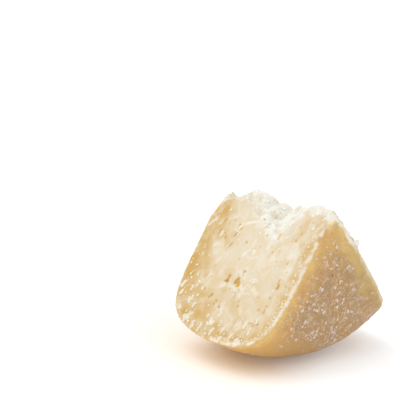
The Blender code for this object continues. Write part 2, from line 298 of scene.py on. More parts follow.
# What the knife, the curd and handling left on the faces. Places are x and the distance from the axis.
marks = {
    "drag": math.radians(24),  # which way the knife was drawn, from the radius
    # x, r, length, width, turn from the radius in degrees, depth
    "eyes": (
        (0.1, 60.4, 3.0, 1.9, 32, 3.0), (1.8, 62.5, 2.3, 2.4, 20, 1.5), (-0.3, 57.3, 1.4, 0.7, 15, 0.9),
        (2.4, 55.9, 1.6, 0.7, -12, 1.1), (2.2, 53.8, 1.1, 1.3, 0, 1.5), (-8.0, 60.8, 3.2, 1.3, 15, 2.2),
        (-8.2, 62.8, 1.1, 2.2, 0, 1.5), (-9.9, 63.2, 1.0, 0.8, 70, 1.2), (-7.4, 64.2, 1.0, 0.6, 0, 0.9),
        (33.2, 55.4, 1.9, 1.2, 18, 2.6), (32.2, 52.8, 1.8, 0.6, 8, 1.5), (-31.7, 37.6, 2.6, 0.8, 0, 1.5),
        (-25.4, 38.6, 1.0, 0.9, 0, 1.2), (-27.4, 36.0, 1.0, 0.8, 0, 1.2), (-18.2, 34.2, 2.4, 1.0, 25, 1.8),
        (-16.6, 30.7, 2.2, 0.8, 35, 1.4), (-18.4, 41.6, 1.7, 0.8, 10, 1.5), (-7.0, 36.9, 0.8, 1.6, 0, 1.3),
        (-6.9, 47.9, 1.3, 0.7, 10, 1.0), (15.4, 26.7, 2.3, 1.3, 5, 2.6), (6.7, 28.7, 1.2, 0.9, 0, 1.3),
        (30.9, 25.6, 1.2, 1.0, 20, 1.5), (32.3, 21.2, 1.1, 1.6, 0, 1.5), (37.7, 26.1, 0.9, 0.9, 0, 1.2),
        (18.3, 46.2, 0.9, 0.7, 0, 1.0), (23.1, 41.9, 0.7, 1.2, 0, 1.0), (17.0, 37.2, 0.9, 0.9, 0, 1.2),
        (14.5, 34.5, 0.9, 0.8, 0, 1.0), (5.3, 36.4, 0.7, 0.9, 0, 0.9), (2.4, 38.6, 1.0, 0.8, 0, 0.9),
        (32.2, 40.8, 1.1, 0.8, 30, 1.3), (34.6, 45.7, 1.0, 0.7, 30, 1.1), (38.9, 53.6, 1.0, 0.7, 20, 1.0),
        (31.0, 63.1, 1.1, 0.7, 10, 1.2), (22.2, 65.4, 0.7, 0.9, 0, 1.0), (31.6, 68.3, 1.5, 0.7, 10, 1.4),
        (27.2, 71.8, 1.3, 0.8, 20, 1.3), (31.4, 72.0, 1.8, 0.7, 5, 1.5), (9.8, 74.4, 1.1, 0.9, 10, 1.3),
        (8.9, 71.6, 0.9, 0.7, 10, 1.0), (-4.4, 79.0, 1.1, 1.1, 0, 1.4), (-8.5, 76.7, 1.1, 1.0, 0, 1.3),
        (-14.4, 73.8, 1.5, 1.2, 0, 1.9), (-15.5, 75.9, 1.6, 0.7, 40, 1.3), (-9.3, 78.9, 0.9, 0.7, 30, 1.0),
        (-21.2, 63.9, 1.0, 0.8, 0, 1.1), (-26.9, 63.9, 0.9, 0.8, 0, 1.1), (-22.2, 71.9, 0.9, 0.8, 0, 1.0),
        (-22.5, 56.7, 0.9, 0.8, 0, 1.0), (-37.6, 65.0, 1.4, 1.4, 0, 1.0), (6.7, 61.9, 0.9, 0.7, 0, 1.0),
        (4.0, 64.9, 1.0, 0.6, 10, 1.0), (-2.8, 66.5, 0.7, 0.9, 0, 0.9), (-23.8, 26.6, 1.0, 0.9, 0, 1.2),
        (-27.3, 29.9, 1.3, 0.7, 0, 1.2), (-18.8, 28.2, 1.3, 1.0, 30, 1.3), (-32.0, 28.8, 1.4, 1.3, 30, 1.4),
        (25.3, 81.4, 1.4, 0.7, 70, 1.1), (28.5, 81.9, 0.8, 1.5, 0, 1.5), (31.0, 80.6, 1.1, 0.8, 40, 1.3),
        (24.0, 91.9, 0.8, 1.1, 0, 1.2), (19.7, 91.7, 0.8, 1.2, 0, 1.2), (-30.0, 89.4, 1.1, 1.0, 0, 1.1),
        (-26.2, 88.9, 1.0, 1.4, 40, 1.1), (37.0, 12.6, 1.0, 0.9, 0, 1.1),
    ),
    # x, y, width, depth: gaps between the crumbs of the broken top
    "gaps": (
        (-3.9, -6.4, 0.8, 0.3), (-0.8, 1.2, 0.5, 0.2), (-0.6, -0.8, 0.6, 0.3), (-0.4, -2.4, 0.6, 0.3),
        (-0.3, -3.8, 0.9, 0.4), (1.1, -9.1, 0.8, 0.3), (-2.6, -9.8, 0.8, 0.3), (10.1, -12.6, 0.8, 0.4),
        (27.1, -8.3, 0.7, 0.3), (14.0, -9.0, 0.7, 0.3),
    ),
    "gapShade": 0.55,
    # x, y, length along x, width across: where the broken curd is at its whitest
    "fresh": (
        (-13.0, 2.0, 10.0, 5.0), (-6.4, -2.7, 8.0, 3.4), (11.0, -2.0, 9.5, 7.0), (13.5, -6.5, 6.0, 5.5),
        (-2.0, -8.4, 5.0, 3.0), (41.0, -0.2, 7.5, 3.0), (24.0, 3.4, 14.0, 2.4), (37.0, -2.4, 2.4, 1.4),
        (5.0, -12.0, 4.0, 3.0), (10.5, -15.0, 3.8, 3.0), (-2.0, 4.0, 5.0, 3.0), (-2.0, 1.5, 8.0, 5.0),
        (-18.5, 1.0, 4.0, 2.0), (-33.0, -1.8, 4.5, 2.2), (-38.5, -3.0, 3.0, 1.8), (-28.0, -2.0, 3.0, 1.4),
        (-43.0, -4.5, 2.4, 1.6),
    ),
    # x, r, length, width, turn, strength: white patches and streaks where curd was torn on the knife face
    "torn": (
        (9.6, 27.2, 2.8, 2.8, 0, 0.95), (-9.0, 24.0, 8.3, 1.0, 64, 0.7), (-17.4, 30.6, 3.7, 0.8, 14, 0.8),
        (17.6, 21.8, 5.6, 1.0, -36, 0.7), (26.4, 25.2, 3.8, 0.8, 70, 0.7), (-25.5, 24.8, 5.0, 0.8, 65, 0.5),
        (3.2, 63.9, 4.0, 1.6, 65, 0.55), (-22.4, 62.3, 5.0, 1.2, -34, 0.35),
        (17.9, 85.7, 3.2, 3.2, 0, 0.45), (12.0, 19.5, 4.0, 2.0, 40, 0.7), (21.0, 16.5, 5.0, 1.6, 70, 0.6),
        (30.0, 12.5, 5.0, 1.8, 75, 0.55), (-29.5, 37.2, 2.2, 1.0, 5, 0.55),
        (-30.8, 45.2, 2.0, 0.9, 10, 0.5), (15.0, 62.0, 2.0, 5.0, 20, 0.4), (5.0, 44.0, 1.0, 4.0, -30, 0.35),
        (24.0, 36.0, 3.4, 0.6, -20, 0.45), (13.5, 76.0, 4.0, 1.2, -30, 0.35),
        (-2.9, 41.9, 3.9, 0.9, 36, 0.65), (-0.4, 36.2, 2.6, 0.7, 5, 0.55), (2.4, 40.6, 1.7, 1.1, 0, 0.65),
        (19.5, 40.4, 2.4, 1.4, 30, 0.65), (20.4, 35.5, 4.6, 0.9, 11, 0.6), (-9.7, 65.7, 4.4, 1.8, 60, 0.5),
        (7.5, 66.1, 5.0, 2.2, 10, 0.5), (-2.0, 64.6, 3.0, 1.2, 70, 0.5), (-22.0, 52.0, 4.6, 1.0, 30, 0.35),
        (-40.4, 30.4, 3.0, 1.4, 40, 0.6), (-34.3, 30.6, 2.6, 1.2, 20, 0.55),
        (-43.4, 34.5, 2.6, 1.2, 20, 0.55), (-28.2, 43.8, 3.2, 1.1, 76, 0.5),
        (-37.0, 52.5, 1.5, 1.4, 0, 0.6), (-32.8, 63.6, 2.2, 1.0, 20, 0.5),
    ),
    # x, how far the painted highlight along the broken crest reaches down from it
    "crestHighlight": (
        (-46.0, 3.0), (-41.0, 2.0), (-36.0, 4.0), (-30.0, 3.0), (-20.0, 5.0), (-8.0, 6.5), (16.0, 6.0),
        (24.0, 3.6), (30.0, 2.4), (42.0, 2.4), (46.0, 3.0),
    ),
    "dusting": 0.5,
    "leastWhite": 0.42,  # of the other broken places
    "holeShadeDot": (0.7, -42.2, 1.0),  # y, height from the axis, width: a hole in the rind, painted dark as its shade
    # x, r, length, width, turn, strength: deeper yellow places on a knife face
    "stains": (
        (-36.4, 23.0, 3.0, 2.0, 30, 0.8), (-38.8, 20.8, 2.2, 1.5, 20, 0.6),
        (-40.5, 30.0, 6.0, 2.4, 10, 0.5), (-39.5, 65.5, 5.5, 2.6, 20, 0.5),
        (-36.0, 76.0, 6.0, 3.0, 24, 0.35), (-28.0, 84.0, 5.0, 4.0, 30, 0.3),
        (-10.0, 90.0, 4.0, 6.0, 20, 0.3), (1.0, 92.5, 3.0, 2.6, 0, 0.45), (20.9, 88.3, 3.4, 3.2, 0, 0.35),
        (6.2, 73.6, 5.0, 3.6, 0, 0.28), (-5.7, 68.4, 3.0, 2.6, 0, 0.3), (-6.0, 72.0, 7.0, 2.6, 10, 0.18),
        (-36.5, 50.0, 8.0, 2.2, 8, 0.3), (-42.0, 62.0, 11.0, 3.0, 3, 0.8), (-42.5, 75.0, 5.0, 2.2, 0, 0.6),
        (-39.0, 44.0, 7.0, 2.2, 10, 0.45), (-31.0, 88.0, 3.0, 4.0, 60, 0.55),
        (-18.0, 89.0, 3.0, 3.0, 0, 0.35), (10.0, 93.5, 2.0, 4.0, 0, 0.35), (14.0, 85.0, 3.0, 3.0, 0, 0.25),
        (-33.0, 79.0, 2.6, 3.2, 0, 0.5), (-24.0, 78.0, 3.0, 3.6, 0, 0.25), (-39.5, 71.0, 5.0, 2.2, 10, 0.5),
        (33.0, 16.0, 5.0, 4.0, 50, 0.32), (30.0, 23.0, 5.0, 4.0, 40, 0.26),
        (39.0, 22.0, 9.0, 2.2, 10, 0.34),
    ),
    # r, and how far onto the rind from its edge the pale line along the cut lies
    "paleLine": ((0.0, 0.8), (22.0, 1.1), (48.0, 0.8), (72.0, -0.8), (86.0, -1.6), (100.0, -1.6)),
    # x, r, length, width, turn: broad smears of curd
    "smears": (
        (-28.3, 70.0, 4.2, 0.9, 24), (-41.6, 74.4, 3.4, 1.5, 24), (-39.8, 79.4, 2.6, 1.2, 15),
        (-29.4, 81.6, 3.4, 1.2, 28), (-24.6, 83.8, 2.0, 1.2, 20), (-35.5, 87.7, 2.0, 2.0, 0),
        (-25.7, 91.3, 4.6, 3.0, 40), (-18.5, 95.6, 3.4, 1.5, 10), (-11.6, 94.0, 3.4, 0.9, 8),
        (-4.8, 89.5, 3.0, 3.6, 30), (-9.0, 86.0, 1.8, 1.0, 20), (-0.4, 83.5, 2.4, 1.0, 12),
        (-0.9, 80.0, 2.2, 1.4, 24), (7.5, 90.4, 3.2, 1.1, 12), (3.6, 87.4, 2.2, 0.7, 5),
        (-1.1, 95.0, 3.0, 1.4, 24), (7.8, 96.8, 3.2, 1.2, 24), (15.8, 92.9, 3.6, 1.2, 30),
        (21.9, 95.1, 3.8, 2.6, 20), (27.7, 86.2, 3.4, 0.9, 18), (22.6, 83.0, 3.0, 1.4, 0),
        (30.2, 77.8, 3.2, 0.9, 12), (-32.4, 74.3, 2.4, 0.9, 20), (-23.7, 72.2, 1.8, 1.3, 0),
        (10.9, 27.0, 2.4, 2.6, 0), (-30.8, 45.2, 2.2, 1.0, 10), (-29.5, 37.2, 2.2, 1.2, 5),
        (-16.4, 33.4, 2.6, 1.0, 30), (-20.2, 43.6, 2.6, 0.8, 8), (2.6, 66.0, 1.4, 3.8, 0),
        (31.5, 58.4, 1.6, 1.1, 15), (13.0, 57.0, 2.4, 5.0, 0),
    ),
    "smearSize": (0.9, 0.78),  # of the length and width given above
    "smearRise": 0.26,
    "streaks": ((0.62, 3.4, 1.5), (0.42, 1.7, 0.9)),  # share, length, width of the finer smears
    "flakeSize": (12.0, 17.0),  # width and length of the pressed flakes of curd
    "flakeRise": 0.17,
    "lineRise": 0.05,  # of the pale lines between them
    "farEyes": (9, 30),  # which of the eyes the far face repeats
    "seed": 11,
    "pinholes": 34,  # on each knife face
    "pinholeSize": (0.35, 0.6),
    "pinholeReach": ((-43, 43), (14, 97)),
    "pinholeStretch": (1.0, 2.2),
    "pinholeTurn": (0, 50),
    "pinholeDepth": (0.4, 0.9),
    # where the smears grow denser: depth, x and r beside the rind, then the room up to the rim, then depth
    "nearRind": ((20, 5), (16, -4), (28, 52)),
    "nearRim": ((22, 5), (-1, 6)),
    "ridge": ((8.2, 6.8), (4.2, 5.4)),
    "pitDepth": 0.42,
    "pitSize": (0.9, 0.68),  # of the length and width given above
}


# Where each colour of the body starts and where it is full, in millimetres unless a note says otherwise.
tints = {
    "broadSide": (24, -14),  # along the axis, towards the side that is painted yellower
    "yellowPaste": (32, 6),  # below the rind
    "yellowCrust": (12, 4),
    "seamDepth": 4.6,  # a thin darker line that runs along under the rind
    "seamWidth": (0.9, 0.2),
    "lineWidth": (2.0, 0.3),  # the pale line along the cut
    "lineFromTip": (7, 17),
    "lineFaint": (-0.65, -0.1),  # of the noise
    "lineFarAway": (74, 86),
    "farLineWidth": (3.0, 0.4),
    "thinRind": (12.5, 1.5),  # from the cut
    "orangeRind": (30, 9),
    "orangeSide": (12, -16),  # across
    "warmFromTip": (9, 15),
    "warmToTip": (33, 22),
    "warmWidth": (10, 4),
    "apex": (16, 4),  # from the axis
    "rim": (0.86, 0.95),  # share of the radius
    "nearRim": 0.10,  # how much earlier it starts on the near side
    "nearSide": (2, -24),
    "freshTip": (10, 4),
    "freshEdge": (3.4, 1.2),
    "freshEdgeEnd": (37, 32),
    "freshEdgeFrom": 30,  # along the axis
    "whiteAlong": (30, 16),  # along the axis
    "dustWidth": (3.6, 0.4),  # below the broken top
    "dustAlong": (-19, -8),
    "dustRadius": 50,  # from the axis, as far as dust is looked for
    "cornerWidth": (4, 1),  # the broken corner
    "cornerEnd": (22, 17),
}


def eased(ramps, *values):
    return math.prod(ramp(low, high, value) for (low, high), value in zip(ramps, values))


def kneadedRelief(x, r, depth, layer):  # relief, smear and the pale lines round the flakes of a knife face
    along = x * math.sin(marks["drag"]) - r * math.cos(marks["drag"])
    across = x * math.cos(marks["drag"]) + r * math.sin(marks["drag"])
    rimRoom = chunk["radius"] - r
    nearRind = 0.9 * eased(marks["nearRind"], depth, x, r)
    nearRim = 0.66 * eased(marks["nearRim"], rimRoom, rimRoom)
    ridge = 0.7 * eased(marks["ridge"], depth, depth)
    outer = max(nearRind, nearRim, ridge)
    streak = 0.0
    for index, (share, length, width) in enumerate(marks["streaks"]):
        streak += share * wave(along / length, across / width, 1, layer + 3 * index)
    level = 0.60 - 0.37 * outer
    smear = ramp(level, level + 0.10, streak) * min(1.0, 0.4 + outer)
    flakeWidth, flakeLength = marks["flakeSize"]
    u = x / flakeWidth + 0.5 * wave(x, r, 8, layer + 5)
    v = r / flakeLength + 0.5 * wave(x, r, 8, layer + 7)
    near, cells = noise.voronoi(Vector((u, v, layer)))
    line = ramp(0.13, 0.02, near[1] - near[0]) * ramp(-0.25, 0.25, wave(x, r, 10, layer + 9))
    relief = marks["flakeRise"] * noise.noise(cells[0] * 7.3) + marks["lineRise"] * line
    relief += marks["smearRise"] * smear
    relief += 0.14 * wave(along / 7, across / 2, 1, layer + 11) + 0.09 * wave(x, r, 1.7, layer + 13)
    return relief, smear, line * (1 - 0.8 * outer)


def ovals(x, r, table, shade, soft, size=(1, 1)):  # how far each point is inside each, and its last value
    for along, radius, length, width, turn, *rest in table:
        lean = math.radians(turn)
        awayX, awayR = x - along, r - radius
        lengthwise = (awayX * math.sin(lean) - awayR * math.cos(lean)) / (length * size[0])
        crosswise = (awayX * math.cos(lean) + awayR * math.sin(lean)) / (width * size[1])
        inside = rampArray(1.0 + soft, 1.0 - soft, np.hypot(lengthwise, crosswise) + shade)
        yield inside, (rest[0] if rest else 0.0)


def pinholePlaces(layer):
    random = Random(marks["seed"] + layer)
    places = []
    for _ in range(marks["pinholes"]):
        x, r = (random.uniform(*reach) for reach in marks["pinholeReach"])
        size = random.uniform(*marks["pinholeSize"])
        length = size * random.uniform(*marks["pinholeStretch"])
        turn = random.uniform(*marks["pinholeTurn"])
        places.append((x, r, length, size, turn, random.uniform(*marks["pinholeDepth"])))
    return tuple(places)


def surfaceNoise(points, size):
    return np.array([noise.noise(Vector(point) / size) for point in points])


def pointValues(mesh, what):
    flat = np.empty(len(mesh.vertices) * 3, np.float32)
    mesh.vertices.foreach_get(what, flat)
    return flat.reshape(-1, 3).astype(float)


def rindPlace(r):  # how far along the axis the rind lies at this distance from it
    section = np.clip(1 - (r / chunk["radius"]) ** chunk["rimPower"], 0, 1)
    return section ** (1 / chunk["facePower"]) * chunk["height"] / 2


def rimRadius(x):  # and how far from the axis the rim lies at this place along it
    section = np.clip(1 - (abs(x) * 2 / chunk["height"]) ** chunk["facePower"], 0, 1)
    return section ** (1 / chunk["rimPower"]) * chunk["radius"]


def surveyBody(mesh):  # where each point of the net lies, and on what kind of surface
    points = pointValues(mesh, "co")
    x, y, z = (part.copy() for part in points.T)
    r = np.hypot(y, z)
    side = np.where(y > 0, 1.0, -1.0)
    alongRoom = np.clip(rindPlace(r) - abs(x), 0.001, None)
    radialRoom = np.clip(rimRadius(x) - r, 0.001, None)
    heights, breaks = np.array([topHeight(*place) for place in zip(x, y)]).T
    gap = np.clip((heights - z) * math.sin(chunk["halfAngle"]), 0, None)
    broken = breaks * rampArray(2.5, 1.0, gap)
    onTop = rampArray(1.1, 0.35, gap)
    return SimpleNamespace(
        points=points, normals=pointValues(mesh, "normal"), x=x, y=y, z=z, r=r, side=side,
        faceX=-side * x,  # the far knife face is the near one mirrored
        depth=alongRoom * radialRoom / np.hypot(alongRoom, radialRoom),  # below the rind
        gap=gap,  # below the knife faces and the top
        breaks=breaks, broken=broken, onTop=onTop, onKnife=onTop * (1 - broken), onRind=1 - onTop,
        wander=surfaceNoise(points, 15), flutter=surfaceNoise(points, 5), ragged=surfaceNoise(points, 1.6),
    )


def tintPaste(at):  # yellower towards the rind, with deeper yellow places on the near face
    broadSide = rampArray(*tints["broadSide"], at.faceX + 16 * at.wander)
    inside = rampArray(*tints["yellowPaste"], at.depth + 14 * at.wander) * (0.35 + 0.55 * broadSide)
    crust = rampArray(*tints["yellowCrust"], at.depth + 3 * at.flutter + at.ragged)
    at.yellowing = np.maximum(inside, crust * (0.92 + 0.08 * broadSide)) * (1 - 0.5 * at.broken)
    seam = rampArray(*tints["seamWidth"], abs(at.depth - tints["seamDepth"] + at.flutter))
    at.stain = 0.55 * seam * rampArray(0.0, 0.25, at.flutter) * (at.faceX > 0)
    for inside, strength in ovals(at.faceX, at.r, marks["stains"], 0.9 * at.flutter + 0.5 * at.ragged, 0.5):
        at.stain = np.maximum(at.stain, inside * strength * (at.side < 0))


def tintCutEdge(at):  # the pale line where the knife went through the rind
    lineRadius, lineOffset = zip(*marks["paleLine"])
    edge = at.gap - at.depth  # below 0 on the cut face, above it on the rind
    away = abs(edge - np.interp(at.r, lineRadius, lineOffset) - 0.9 * at.flutter)
    border = rampArray(*tints["lineWidth"], away + 1.2 * at.ragged)
    border *= 0.3 + 0.7 * rampArray(-8, 10, at.faceX)
    border *= rampArray(*tints["lineFromTip"], at.r) * np.where(at.side < 0, 1.0, 0.85)
    border *= rampArray(*tints["lineFaint"], at.flutter + 0.6 * at.wander)
    border *= 1 - 0.75 * rampArray(*tints["lineFarAway"], at.r) * rampArray(0.3, -0.1, at.flutter)
    farLine = rampArray(*tints["farLineWidth"], at.gap + 1.6 * at.flutter) * 0.5 * (1 - at.breaks)
    at.border = np.maximum(border, farLine * (at.side > 0))


def tintRind(at):  # yellow where it is thin beside the cut, orange further on, plain tan along the rim
    fromCut = at.gap * np.where(at.side < 0, 0.5 + at.r / 60, 0.5 + at.r / 130)
    warm = rampArray(*tints["warmFromTip"], at.r + 4 * at.flutter)
    warm *= rampArray(*tints["warmToTip"], at.r + 6 * at.wander)
    warm *= rampArray(*tints["warmWidth"], abs(at.y + 2) + 4 * at.flutter)
    orange = rampArray(*tints["orangeRind"], fromCut + 12 * at.flutter + 6 * at.wander)
    at.orange = np.maximum(orange * rampArray(*tints["orangeSide"], at.y), warm)
    thin = rampArray(*tints["thinRind"], fromCut + 8 * at.wander + 5.5 * at.flutter + 1.5 * at.ragged)
    at.thin = thin * (1 - 0.85 * warm)
    at.apex = rampArray(*tints["apex"], at.r + 3 * at.flutter + at.ragged)
    nearSide = rampArray(*tints["nearSide"], at.y + 6 * at.flutter)
    at.rim = rampArray(*tints["rim"], at.r / chunk["radius"] + tints["nearRim"] * nearSide)
    # painted shade of a hole in the rind: a dark dot, with no hole modelled
    dotY, dotZ, dotWidth = marks["holeShadeDot"]
    at.dot = rampArray(0.9, 0.4, np.hypot(at.y - dotY, at.z - dotZ) / dotWidth) * (at.x > 0)


def whitenBreak(at):  # fresh curd on the broken top, at the tip and where the face was torn, and painted highlight along its crest
    fresh = np.zeros(len(at.x))
    for along, across, length, width in marks["fresh"]:
        away = np.hypot((at.x - along) / length, (at.y - across) / width)
        fresh = np.maximum(fresh, rampArray(1.3, 0.7, away + 0.9 * at.flutter + 0.4 * at.ragged))
    fromCrest = abs(at.y - np.array([between(top["crest"], px) for px in at.x]) * spread)
    crestX, crestReach = zip(*marks["crestHighlight"])
    crest = rampArray(1.25, 0.25, fromCrest / np.interp(at.x, crestX, crestReach) + 0.35 * at.flutter)
    tip = rampArray(*tints["freshTip"], at.r + 3 * at.flutter + 1.5 * at.ragged)
    farEdge = rampArray(*tints["freshEdge"], at.gap + 1.2 * at.flutter + 0.8 * at.ragged)
    farEdge *= rampArray(*tints["freshEdgeEnd"], at.r) * at.onRind
    farEdge *= (at.y > 0) * (at.x > tints["freshEdgeFrom"])
    corner = rampArray(*tints["cornerWidth"], at.gap) * rampArray(*tints["cornerEnd"], at.r)
    at.fresh = np.maximum.reduce([
        fresh * np.maximum(at.broken, 0.7) * at.onTop, crest * at.onTop, 0.85 * tip, 0.85 * farEdge,
        marks["leastWhite"] * at.broken * at.onTop * rampArray(*tints["whiteAlong"], at.x),
        0.7 * corner * (at.x < top["breakPlace"]),
    ])
    for index in np.nonzero((at.onKnife > 0.01) & (at.r < tints["dustRadius"]))[0]:  # beside the break
        room = crumbledHeight(at.x[index], at.y[index]) - knifeHeight(at.x[index], at.y[index])
        room += 3.2 * at.flutter[index] + 1.5 * at.ragged[index]
        dusted = ramp(*tints["dustWidth"], room) * ramp(*tints["dustAlong"], at.x[index]) * at.onKnife[index]
        at.fresh[index] = max(at.fresh[index], marks["dusting"] * dusted)
    for inside, strength in ovals(at.faceX, at.r, marks["torn"], 0.5 * at.flutter + 0.7 * at.ragged, 0.45):
        at.fresh = np.maximum(at.fresh, inside * strength * at.onKnife)


def kneadKnifeFaces(at):  # the relief, the eyes with their painted shade, and the smears
    count = len(at.x)
    at.relief, at.smear, at.line, at.pit = (np.zeros(count) for _ in range(4))
    for index in np.nonzero(at.onKnife > 0.01)[0]:
        layer = 41 if at.side[index] < 0 else 71
        found = kneadedRelief(at.faceX[index], at.r[index], at.depth[index], layer)
        at.relief[index], at.smear[index], at.line[index] = found
    farEyes = marks["eyes"][slice(*marks["farEyes"])]
    for facing, table in ((-1, marks["eyes"] + pinholePlaces(1)), (1, farEyes + pinholePlaces(2))):
        mask = at.side == facing
        for inside, deep in ovals(at.faceX, at.r, table, 0.7 * at.ragged, 0.35, marks["pitSize"]):
            at.relief -= inside * deep * marks["pitDepth"] * mask
            # painted shade: deeper eyes take more of the ochre that stands in for their shadow
            at.pit = np.maximum(at.pit, inside * mask * min(0.25 + deep / 2.8, 1.0))
    for inside, _ in ovals(at.faceX, at.r, marks["smears"], 0.75 * at.ragged, 0.25, marks["smearSize"]):
        at.relief += marks["smearRise"] * inside * (1 - at.smear) * (1 - at.pit)
        at.smear = np.maximum(at.smear, inside * (1 - at.pit))
    outermost = np.minimum(at.depth, chunk["radius"] - at.r) + 5 * at.flutter
    at.smear *= at.onKnife * (0.5 + 0.5 * rampArray(26, 12, outermost))
    at.line *= at.onKnife


def openGaps(at):  # between the crumbs of the broken top, sunk and darkened with painted shade
    for along, across, width, deep in marks["gaps"]:
        away = np.hypot(at.x - along, (at.y - across) * 1.2) / width + 0.9 * at.ragged
        inside = rampArray(1.25, 0.5, away) * at.onTop
        at.points -= at.normals * (inside * deep * at.broken)[:, None]
        at.pit = np.maximum(at.pit, inside * at.broken * marks["gapShade"])


# what the cheese's material reads from the mesh, each 0 to 1 except gap
paintedValues = (
    "gap", "smear", "line", "pit", "stain", "yellowing",
    "border", "thin", "rim", "orange", "fresh", "apex", "dot",
)


def finishBody(mesh):  # the fine relief and the painted values
    at = surveyBody(mesh)
    tintPaste(at)
    tintCutEdge(at)
    tintRind(at)
    whitenBreak(at)
    kneadKnifeFaces(at)
    openGaps(at)
    lip = 0.12 * at.border
    mottle = 0.14 * surfaceNoise(at.points, 3.1) + 0.10 * at.ragged
    squareUp = np.stack([squareTo(side) for side in at.side])
    at.points += squareUp * ((at.relief + lip) * at.onKnife)[:, None]
    at.points += at.normals * ((mottle + lip) * at.onRind + 0.18 * at.ragged * at.broken)[:, None]

    at.points[:, 1] += chunk["sideShift"]
    at.points[:, 2] = np.maximum(at.points[:, 2] + axisHeight, 0.0)
    mesh.vertices.foreach_set("co", (at.points * mm).astype(np.float32).ravel())
    for name in paintedValues:
        values = getattr(at, name).astype(np.float32)
        mesh.attributes.new(name, "FLOAT", "POINT").data.foreach_set("value", values)
    mesh.update()
    mesh.shade_smooth()
    at.normals = pointValues(mesh, "normal")
    return at


def paint(red, green, blue):  # a colour as the eye sees it, each part 0 to 255
    return tuple(((part / 255 + 0.055) / 1.055) ** 2.4 for part in (red, green, blue)) + (1.0,)


def inMetres(lengths):
    return [length * mm for length in lengths]


def feed(tree, socket, value):
    if isinstance(value, bpy.types.NodeSocket):
        tree.links.new(value, socket)
    else:
        socket.default_value = value


def blendColors(tree, share, first, second):
    node = tree.nodes.new("ShaderNodeMix")
    node.data_type = "RGBA"
    for index, value in ((0, share), (6, first), (7, second)):
        feed(tree, node.inputs[index], value)
    return node.outputs[2]


def calculate(tree, operation, first, second=0.0, clamp=False):
    node = tree.nodes.new("ShaderNodeMath")
    node.operation = operation
    node.use_clamp = clamp
    feed(tree, node.inputs[0], first)
    feed(tree, node.inputs[1], second)
    return node.outputs[0]


def rampNode(tree, value, low, high, toLow=0.0, toHigh=1.0):
    node = tree.nodes.new("ShaderNodeMapRange")
    node.interpolation_type = "SMOOTHSTEP"
    for index, part in enumerate((value, low, high, toLow, toHigh)):
        feed(tree, node.inputs[index], part)
    return node.outputs[0]


def noiseNode(tree, place, size, detail=2.0, distortion=0.0):  # size of its grain in millimetres
    node = tree.nodes.new("ShaderNodeTexNoise")
    feed(tree, node.inputs["Vector"], place)
    node.inputs["Scale"].default_value = 1 / (size * mm)
    node.inputs["Detail"].default_value = detail
    node.inputs["Distortion"].default_value = distortion
    return node.outputs[0]


def attributeNode(tree, name):
    node = tree.nodes.new("ShaderNodeAttribute")
    node.attribute_name = name
    return node.outputs["Fac"]


def newMaterial(name):
    material = bpy.data.materials.new(name)
    material.use_nodes = True
    tree = material.node_tree
    shader = tree.nodes["Principled BSDF"]
    place = tree.nodes.new("ShaderNodeTexCoord").outputs["Object"]
    return material, tree, shader, place


def addBump(tree, shader, height, distance, strength=1.0):
    node = tree.nodes.new("ShaderNodeBump")
    node.inputs["Strength"].default_value = strength
    node.inputs["Distance"].default_value = distance * mm
    feed(tree, node.inputs["Height"], height)
    feed(tree, shader.inputs["Normal"], node.outputs[0])


cheeseLook = {
    "colors": {
        "creamPale": (222, 210, 187),
        "creamWarm": (222, 206, 176),
        "yellow": (205, 171, 106),
        "stain": (199, 160, 82),
        # painted shade of the eyes and of the gaps between crumbs
        "ochre": (211, 165, 66),
        "white": (232, 225, 208),
        "freshWhite": (236, 235, 225),
        "borderLine": (236, 226, 210),
        "rindTan": (178, 138, 88),
        "rindGrey": (171, 138, 98),
        "rindYellow": (222, 189, 116),
        "rindOlive": (197, 168, 105),
        "rindOrange": (213, 166, 96),
        "rimTan": (213, 171, 100),
        # painted shade for the rim on the side away from the light
        "rimDeep": (189, 147, 93),
        "rindSpeck": (209, 186, 160),
        "rindDark": (152, 112, 70),
        "apexCream": (250, 229, 176),
        "dotBrown": (88, 66, 46),
    },
    # grain in millimetres, detail, distortion; between which noises it grows, and from what to what
    "patterns": {
        "creamPatches": (9.0, 3, 0.6, 0.36, 0.60, 0.0, 1.0),
        "yellowPatches": (9.0, 3, 0.6, 0.30, 0.62, 0.55, 1.0),
        "islands": (4.5, 2, 0.4, 0.36, 0.52, 0.62, 1.0),
        # painted shade of tiny pinholes that are not modelled, as small yellow spots
        "pinholes": (1.3, 1, 0.0, 0.29, 0.22, 0.0, 0.45),
        "rindPatches": (9.0, 3, 0.6, 0.38, 0.62, 0.0, 1.0),
        "bloom": (3.6, 3, 0.9, 0.50, 0.64, 0.0, 0.45),
        "specks": (1.9, 1, 0.3, 0.62, 0.70, 0.0, 0.45),
        "darkSpots": (2.6, 2, 0.0, 0.38, 0.26, 0.0, 0.4),
        "pebbles": (1.0, 2, 0.4, 0.52, 0.34, 0.0, 0.22),
        "glints": (1.25, 2, 0.4, 0.56, 0.68, 0.0, 0.5),
        "shine": (2.2, 3, 0.0, 0.3, 0.7, 0.5, 0.68),  # the roughness
    },
    "rimShadeTurns": (-50, -14),  # across, where the rim turns darker, as painted shade on the side away from the light
    "yellowTurns": (5, 26),  # and where the thin rind's yellow turns olive
    "bumps": (2.2, 0.8),  # grain of the coarse and of the fine ones
    "bumpHeight": 0.30,
    "specular": 0.35,
    "glow": 0.15,  # how much light goes through, and how far each colour does
    "glowReach": (1.0, 0.75, 0.5),
    "glowDepth": 2.5,
}


